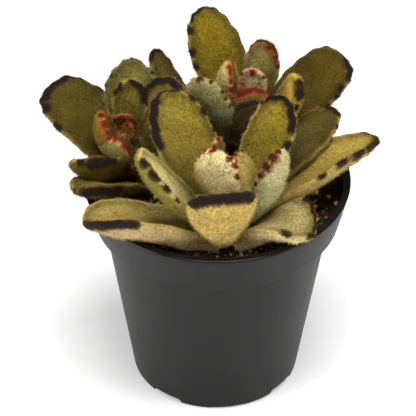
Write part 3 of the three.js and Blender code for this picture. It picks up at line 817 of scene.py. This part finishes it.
# The leaves
# Thick felted blades, one solid each, widest towards the tip, with rounded teeth. Each has grown from its
# stem, with a flatter, cupped upper side, a full belly, and dark spots on the teeth of its margin.
LEAVES = {
    "front": [
        {"height": 8, "turn": 131, "reach": 39, "rise": 39, "width": 27, "bow": -2,
         "upper": 0x8E7B2C, "foot": 0x382C02, "spots": [(2, 2), (2.9, 2.1), (3.9, 1)],
         "bands": [(-0.8, -3.4, 1.4, 1.9), (-1.2, 0.8, 0.3, 1.1)]},
        {"height": 8, "turn": 52, "reach": 33, "rise": 40, "width": 21, "bow": -3,
         "upper": 0x8C7A22, "foot": 0x44380A, "spots": [(3.4, 2.1, 0.6), (-1.8, 1.1)],
         "bands": [(-1.2, 1.2, 0.5, 1.5), (1, 2.5, 0.8, 1.7)]},
        {"height": 6, "turn": 198, "reach": 35, "rise": 41, "width": 20, "bow": -3, "thick": 6, "roll": 5,
         "cup": 0.35, "blunt": 0.6, "upper": 0xD2C480, "under": 0x8A7C36, "rim": 0xD2BC70,
         "spots": [(-0.5, 2.7, 0.6), (-1.7, 2.8, 0.7), (-2.8, 2.2, 0.7), (-3.7, 1.3, 0.6)]},
        {"height": 7, "turn": 348, "reach": 18.5, "rise": 38, "width": 13, "bow": -4, "roll": 50, "cup": 0.3,
         "under": 0xBCB884, "rim": 0xD8C884, "foot": 0x5C5C34, "young": 0.35,
         "spots": [(0.1, 1.5, -0.4), (1, 2.5, -1.5), (2.1, 2.4, -1.4), (3, 1.6, -1.1), (3.8, 0.9, -0.9)]},
        {"height": 2, "turn": 262, "reach": 17, "rise": 33, "width": 27, "bow": -5, "roll": -20, "cup": 0.3,
         "blunt": 0.4, "widest": 0.84, "narrow": 0.3, "tooth": 0.3, "under": 0xC8AC60, "rim": 0xB8934A,
         "foot": 0xB5A566, "spots": [(2.6, 1.3, -0.9)], "bands": [(-2, 2.1, -2.4, 2.2)]},
        {"height": 15, "turn": 240, "reach": 7, "rise": 30, "width": 19, "bow": -4, "blunt": 0.55,
         "under": 0xCCBE86, "rim": 0xD8C68A, "foot": 0x8E8250, "young": 0.6,
         "spots": [(2, 1.1, -0.7), (1.1, 1.5, -1.1), (0.2, 1.5, -1.2), (-0.8, 1.5, -1.1), (-1.8, 1.3, -0.9),
                   (-2.8, 1.3, -0.8)]},
        {"height": 15, "turn": 340, "reach": 2, "rise": 24, "width": 13, "bow": -4, "stand": 5,
         "under": 0xA89450, "rim": 0xBCA25A, "young": 0.7,
         "spots": [(0, 1.4, -0.6), (1, 1.4, -0.8), (2, 1.5, -0.8), (3, 1.3, -0.8), (-1, 1, -0.5)]},
        {"height": 22, "turn": 140, "reach": 5, "rise": 21, "width": 8, "bow": -2, "thick": 3, "stand": 1,
         "teeth": 3, "tooth": 0.3, "upper": 0xA88A58, "rim": 0xB4885A, "young": 0.9,
         "spots": [(0, 1.3), (1, 1.2), (-1, 1.2), (2, 1), (-2, 1)]},
        {"height": 1, "turn": 188, "reach": 56, "rise": 13.6, "width": 29, "bow": 1.4, "thick": 6,
         "roll": -20, "cup": 0.5, "blunt": 0.6, "stand": 5, "shift": -5, "upper": 0xA6924E, "under": 0xC8B07C,
         "rim": 0xC09C4C, "foot": 0x8A7840, "spots": [(-1.6, 3, -1.8), (-2.6, 2.6, -1.8)],
         "bands": [(-0.2, -3.4, -1.8, 2.3)]},
        {"height": 2, "turn": 353, "reach": 33, "rise": 9.5, "width": 24, "bow": 3, "thick": 7, "roll": 40,
         "twist": -58, "cup": 0.3, "blunt": 0.5, "narrow": 0.5, "shift": 5, "upper": 0xA0925A,
         "under": 0xDCC890, "rim": 0xC0A468, "foot": 0xA89460, "spots": [(1.2, 1.8), (3.5, 2.2, 1.4)],
         "bands": [(-1.6, 1.4, 0.2, 1.2)]},
        {"height": 4, "turn": 30, "reach": 66, "rise": 20, "width": 25, "bow": 1.5, "roll": 18, "cup": 0.45,
         "upper": 0xB09848, "under": 0xC4AE68, "rim": 0xD0B058, "foot": 0x504208,
         "spots": [(2.5, 3.2, -0.4), (3.3, 2.9, -0.4), (4.2, 1.8, -0.4)],
         "bands": [(0, 1.9, -0.2, 2.5), (-0.9, 0, 0, 1.1)]},
        # Painted shade: this leaf's upper side and foot are coloured dark for the shade it lies in.
        {"height": 13, "turn": 49, "reach": 63, "rise": 13, "width": 21, "bow": -2, "roll": 8,
         "upper": 0x52471A, "under": 0x8A7844, "rim": 0x9C8244, "foot": 0x1E1A06,
         "spots": [(-3.4, 1.5), (2, 1)], "bands": [(-0.7, 0.8, 0.5, 1.6)]},
    ],
    "left": [
        # Painted shade: this leaf's upper side is coloured dark for the shade on it.
        {"height": 8, "turn": 150, "reach": 41, "rise": 24, "width": 29, "bow": 2, "roll": 6, "blunt": 0.55,
         "narrow": 0.62, "widest": 0.5, "upper": 0x51480F, "rim": 0x9C8038, "foot": 0x3C3008,
         "spots": [(-1.6, 2.8, 0.8), (-2.9, 2.1, 0.7), (3, 1.3), (3.9, 1.2)],
         "bands": [(-0.9, 1, 0.9, 2.2), (1.2, 2.3, 0.2, 1)]},
        {"height": 13, "turn": 91, "reach": 28, "rise": 27.5, "width": 22, "bow": -2, "blunt": 1.25,
         "upper": 0x746C33, "rim": 0x7D7040, "foot": 0x322A0A, "spots": [(-2.4, 1), (-3.2, 0.9), (2.2, 0.9)],
         "bands": [(-0.8, 0.8, 0, 0.7)]},
        {"height": 6, "turn": 50, "reach": 18, "rise": 36, "width": 26, "bow": -2, "cup": 0.45, "stand": 4,
         "shift": 7, "upper": 0x7A6630, "rim": 0xB89848, "foot": 0x40340F,
         "spots": [(-2.3, 1.9, 0.9), (-3.2, 2.2, 0.9), (-4, 1.5, 0.8)], "bands": [(-1.6, 1.6, 0.8, 1.8)]},
        {"height": 11, "turn": 183, "reach": 12, "rise": 23, "width": 14.5, "bow": -3, "cup": 0.55,
         "teeth": 4, "tooth": 0.45, "upper": 0x6A5820, "under": 0x7E6424, "rim": 0xC08A50, "young": 1,
         "spots": [(0, 1.8, -0.3), (-0.9, 2, -0.4), (-1.8, 1.9, -0.4), (-2.7, 1.7, -0.4), (0.9, 1.3)]},
        {"height": 12, "turn": 230, "reach": 9, "rise": 16, "width": 13.5, "bow": -2, "thick": 4,
         "stand": 4.5, "teeth": 3, "tooth": 0.4, "under": 0x95884A, "rim": 0xA87048, "young": 1,
         "spots": [(0, 1.8, -0.6), (1, 1.8, -0.6), (-1, 1.7, -0.6)], "bands": [(-2, 2, 0, 1.1)]},
        {"height": 19, "turn": 95, "reach": 5, "rise": 9, "width": 10.5, "bow": -2, "thick": 3, "stand": 3.5,
         "teeth": 3, "tooth": 0.4, "upper": 0x80622C, "rim": 0xA06038, "young": 1,
         "spots": [(0, 1.7, 0.6), (1.6, 1.8, 0.7), (-1.4, 1.5, 0.6)], "bands": [(-2, 2, 0.3, 1.3)]},
        {"height": 9, "turn": 216, "reach": 25, "rise": 14, "width": 22, "bow": -3, "roll": -40, "cup": 0.3,
         "upper": 0x6A5818, "under": 0x5A4A0C, "rim": 0xB08E40, "foot": 0x2A2002,
         "spots": [(0.1, 2, -0.8), (-2.2, 2.3, -1.1), (-2.9, 1.6, -0.8)], "bands": [(-0.5, -1.5, -2.2, 2.4)]},
        {"height": 1, "turn": 219, "reach": 34.5, "rise": 14.1, "width": 23, "bow": 1, "roll": -18,
         "cup": 0.35, "shift": -4, "upper": 0x6B5A26, "under": 0x4C4018, "rim": 0xA08638, "foot": 0x2A2002,
         "spots": [(0, 1.4)], "bands": [(-0.6, -3.6, -2, 2.5)]},
        {"height": 17, "turn": 84, "reach": 16, "rise": 21, "width": 14.5, "bow": -2, "roll": 5, "teeth": 4,
         "upper": 0x6E6020, "rim": 0xB09040, "foot": 0x3C300A, "spots": [(-1.3, 1.8, 0.7), (-2.1, 1.5, 0.5)],
         "bands": [(0.1, 0.9, 0.9, 1.5), (1.5, 2.5, 0.9, 1.8)]},
        {"height": 4, "turn": 130, "reach": 36, "rise": 12, "width": 22, "bow": 2, "upper": 0x66591F},
    ],
    "back": [
        {"height": 14, "turn": 120, "reach": 37, "rise": 38, "width": 23, "bow": -2, "blunt": 0.9,
         "upper": 0x806C12, "rim": 0x9A8030, "foot": 0x261C00,
         "spots": [(-2.1, 2.2, 0.9), (-3.3, 1.9, 0.7), (-4, 1.6, 0.6)],
         "bands": [(-1.3, 0.8, 0.1, 1), (0.8, 4.2, 0, 0.7)]},
        {"height": 22, "turn": 62, "reach": 14, "rise": 27, "width": 15, "bow": -2, "upper": 0x908246,
         "rim": 0x9C8048, "young": 0.45,
         "spots": [(0.9, 2.2, 0.8), (2.3, 1.5, 0.5), (3.2, 1.3, 0.4), (-1.8, 1.1, 0.3), (-2.5, 1, 0.3)],
         "bands": [(-0.8, 1.6, 0.2, 0.9)]},
        {"height": 19, "turn": 180, "reach": 8, "rise": 28, "width": 14, "bow": -2, "roll": 5, "cup": 0.6,
         "stand": 5, "teeth": 4, "tooth": 0.45, "upper": 0x9A7C34, "under": 0xB8A468, "rim": 0xC09454,
         "young": 1, "spots": [(-0.3, 1.8), (-0.9, 1.5), (-1.6, 1.5), (-2.4, 1.8), (0.6, 1.3)]},
        {"height": 20, "turn": 75, "reach": 6.5, "rise": 20, "width": 12, "bow": -1, "thick": 3, "stand": 3,
         "teeth": 3, "tooth": 0.3, "upper": 0xE0D0A0, "under": 0xD8C898, "rim": 0xD09C70, "foot": 0xB0A070,
         "young": 1, "spots": [(0, 2, 2.2), (1.2, 1), (-1.2, 1)]},
        {"height": 20, "turn": 277, "reach": 6.5, "rise": 20, "width": 16.5, "bow": -3, "thick": 4,
         "teeth": 4, "tooth": 0.45, "under": 0x71602A, "rim": 0x9C6A40, "young": 0.8,
         "spots": [(2, 1.1, -0.5), (-2, 1, -0.5)], "bands": [(-1.1, 1.1, -1.1, 1.6)]},
        # Painted shade: this underside, in shade between the front leaves, is coloured near black.
        {"height": 10, "turn": 277, "reach": 11, "rise": 28, "width": 18, "bow": -3, "thick": 4,
         "under": 0x352A0C, "rim": 0x6E5A28, "foot": 0x221A06, "bands": [(-1.6, 1.6, -0.8, 1.5)],
         "spots": [(2.4, 1.2, -0.5), (-2.4, 1.2, -0.5)]},
        {"height": 14, "turn": 0, "reach": 19, "rise": 27, "width": 16, "bow": -3, "thick": 5.5, "roll": -18,
         "upper": 0xDCB850, "under": 0xC0A448, "rim": 0xD4B458,
         "spots": [(1.7, 3.4, -1), (0.6, 2.6, -0.6), (3, 1.6, -0.6)]},
        # Painted shade: this leaf's upper side is coloured darker for the way it faces the light.
        {"height": 10, "turn": 32, "reach": 44, "rise": 26, "width": 30, "bow": -2, "blunt": 0.55,
         "upper": 0x57490E, "rim": 0x8A742C, "foot": 0x40300A, "margin_shade": 0x2E2509,
         "spots": [(2.6, 1.8, 0.7), (3.1, 1.3, 0.5), (3.8, 1.3, 0.5)],
         "bands": [(0.2, 1.7, 0.5, 1.5), (-3.2, 0.2, 0, 0.7)]},
        {"height": 12, "turn": 213, "reach": 21, "rise": 37, "width": 19, "bow": -4, "roll": -35,
         "under": 0x8E8A58, "rim": 0x9C9058, "foot": 0x262208, "young": 0.25,
         "spots": [(0.2, 1.5, -0.8), (-0.6, 1, -0.6), (-2, 1, -0.5), (-2.6, 0.9, -0.5), (-3.3, 1, -0.5)]},
        {"height": 6, "turn": 145, "reach": 46, "rise": 30, "width": 14, "bow": -9, "upper": 0x685A24,
         "rim": 0x746438, "bands": [(-0.8, 0.8, 0.4, 1.1)]},
        {"height": 7, "turn": 94, "reach": 38, "rise": 16, "width": 20, "bow": 2, "upper": 0x6E5E22},
        {"height": 2, "turn": 60, "reach": 32, "rise": 9, "width": 17, "bow": 1.5},
        {"height": 1, "turn": 172, "reach": 37, "rise": 7, "width": 19, "bow": 1},
    ],
}

for stem, leaves in LEAVES.items():
    for number, values in enumerate(leaves, 1):
        blade = leaf_blade(stem, {**LEAF, **values}, random)
        press_clear(blade, pressing)
        felted(blade, random)
        pressing.append((blade["rings"].reshape(-1, 3), blade["normals"].reshape(-1, 3)))
        blades[stem].append(blade)
        felted_piece(f"{stem}_leaf_{number}_blade", [blade], f"{stem}_leaf_{number}")

# The felt
# Short stiff hairs that stand all over the leaves and stems, slightly swept to the tip. Each is a thin closed
# spike with its root in the leaf, coloured as the leaf is at its root, painted light and shade included, and
# paler at its point.
HAIRS_A_ROSETTE = 48000
HAIR_LENGTH = 1.1
HAIR_LENGTHS = (0.55, 1.25)
HAIR_RADIUS = 0.085
HAIR_SUNK = 0.12
HAIR_SWEEP = (-0.2, 0.7)
HAIR_SCATTER = 0.28
HAIR_POINT = 0xDCB868


def hairs(blades, count, random):
    """Points, faces and attributes of hairs spread over the blades by area: a three-sided spike on a random
    place of a random cell, that leans by a random amount from the surface's normal."""
    points, tones, spots, young = [], [], [], []
    areas = []
    for blade in blades:
        rings = blade["rings"]
        turned_on = np.roll(rings, -1, axis=1)
        cells = np.cross(rings[1:] - rings[:-1], turned_on[:-1] - rings[:-1])
        areas.append(np.linalg.norm(cells, axis=2))
    total = sum(area.sum() for area in areas)
    for blade, area in zip(blades, areas):
        amount = int(count * area.sum() / total)
        cell = random.choice(area.size, amount, p=area.ravel() / area.sum())
        i, j = np.unravel_index(cell, area.shape)
        k = (j + 1) % blade["rings"].shape[1]
        s, t = random.uniform(0, 1, (2, amount, 1))

        def between(values):
            low = values[i, j] * (1 - t) + values[i, k] * t
            high = values[i + 1, j] * (1 - t) + values[i + 1, k] * t
            return low * (1 - s) + high * s

        root = between(blade["rings"])
        normal = unit(between(blade["normals"]))
        ahead = unit(blade["rings"][i + 1, j] - blade["rings"][i, j])
        sweep = ahead * random.uniform(*HAIR_SWEEP, (amount, 1))
        lean = sweep + random.normal(0, HAIR_SCATTER, (amount, 3))
        direction = unit(normal + lean)
        length = HAIR_LENGTH * random.uniform(*HAIR_LENGTHS, (amount, 1))
        first = unit(np.cross(direction, random.normal(size=(amount, 3))))
        second = np.cross(direction, first)
        turns = np.radians([0, 120, 240])[:, None, None]
        base = root - HAIR_SUNK * normal + HAIR_RADIUS * (first * np.cos(turns) + second * np.sin(turns))
        points.append(np.concatenate([base, [root + direction * length]]).transpose(1, 0, 2))
        tone = between(blade["tone"])
        pale = tone * 1.2 + colour(HAIR_POINT) * 0.2
        tones.append(np.stack([tone, tone, tone, pale], axis=1))
        spots.append(np.repeat(between(blade["spot"][..., None]), 4, axis=1))
        young.append(np.full((amount, 4), blade["leaf"]["young"]))
    points = np.concatenate(points)
    corner = 4 * np.arange(len(points))[:, None, None]
    faces = np.array([[0, 1, 3], [1, 2, 3], [2, 0, 3], [0, 2, 1]]) + corner
    attributes = {
        "tone": np.concatenate(tones).reshape(-1, 3),
        "spot": np.concatenate(spots).ravel(),
        "young": np.concatenate(young).ravel(),
    }
    return points.reshape(-1, 3), [faces.reshape(-1, 3)], attributes


for stem in STEMS:
    points, faces, attributes = hairs(blades[stem], HAIRS_A_ROSETTE, random)
    piece(f"{stem}_felt", points, faces, hair_felt, "leaf", attributes)

# The studio
# A plain pale floor under soft light from large panels, and the camera where the picture was taken from.
CAMERA_PLACE = (0, -0.8265, 0.7377)
CAMERA_AIM = (-0.0035, 0.0159, 0.0644)
CAMERA_ROLL = 0.4
CAMERA_NEAR = 0.05
LENS = 231.4
SENSOR = 36
PANELS = (
    {"name": "top", "place": (0.05, -0.15, 1.1), "size": 0.6, "power": 12.5},
    {"name": "left", "place": (-0.85, -0.45, 0.45), "size": 0.5, "power": 6},
    {"name": "right", "place": (0.85, -0.35, 0.5), "size": 0.5, "power": 4},
)
PANEL_AIM = (0, 0, 0.08)
WORLD_LIGHT = 0.11
FLOOR_GLOW = 0.3
FLOOR_SIZE = 4


def aimed(place, aim, roll=0):
    """The matrix, column by column, of a camera or light at a place that looks at the aim, its top upwards
    and then rolled by degrees."""
    ahead = unit(np.array(aim) - place)
    right = unit(np.cross(ahead, (0, 0, 1)))
    up = np.cross(right, ahead)
    angle = np.radians(roll)
    rolled = right * np.cos(angle) + up * np.sin(angle)
    matrix = np.eye(4)
    matrix[:3, 0] = rolled
    matrix[:3, 1] = np.cross(rolled, ahead)
    matrix[:3, 2] = -ahead
    matrix[:3, 3] = place
    return matrix.T


scene = bpy.context.scene
scene.view_settings.view_transform = "Standard"
floor_paper, shade = new_finish("floor_paper")
set_finish(
    floor_paper,
    Base_Color=(0.9, 0.9, 0.9, 1),
    Roughness=0.9,
    Specular_IOR_Level=0.1,
    Emission_Color=(1, 1, 1, 1),
    Emission_Strength=FLOOR_GLOW,
)
floor_mesh = bpy.data.meshes.new("floor")
edge = FLOOR_SIZE / 2
floor_corners = [(-edge, -edge, 0), (edge, -edge, 0), (edge, edge, 0), (-edge, edge, 0)]
floor_mesh.from_pydata(floor_corners, [], [(0, 1, 2, 3)])
floor_mesh.materials.append(floor_paper)
floor = bpy.data.objects.new("floor", floor_mesh)
bpy.context.collection.objects.link(floor)

world = bpy.data.worlds.new("studio")
world.use_nodes = True
world.node_tree.nodes["Background"].inputs["Color"].default_value = (1, 1, 1, 1)
world.node_tree.nodes["Background"].inputs["Strength"].default_value = WORLD_LIGHT
scene.world = world
for panel in PANELS:
    light = bpy.data.lights.new(panel["name"], "AREA")
    light.size = panel["size"]
    light.energy = panel["power"]
    lamp = bpy.data.objects.new(panel["name"], light)
    lamp.matrix_world = aimed(panel["place"], PANEL_AIM)
    bpy.context.collection.objects.link(lamp)

lens = bpy.data.cameras.new("camera")
lens.lens = LENS
lens.sensor_width = SENSOR
lens.clip_start = CAMERA_NEAR
camera = bpy.data.objects.new("camera", lens)
camera.matrix_world = aimed(CAMERA_PLACE, CAMERA_AIM, CAMERA_ROLL)
bpy.context.collection.objects.link(camera)
scene.camera = camera
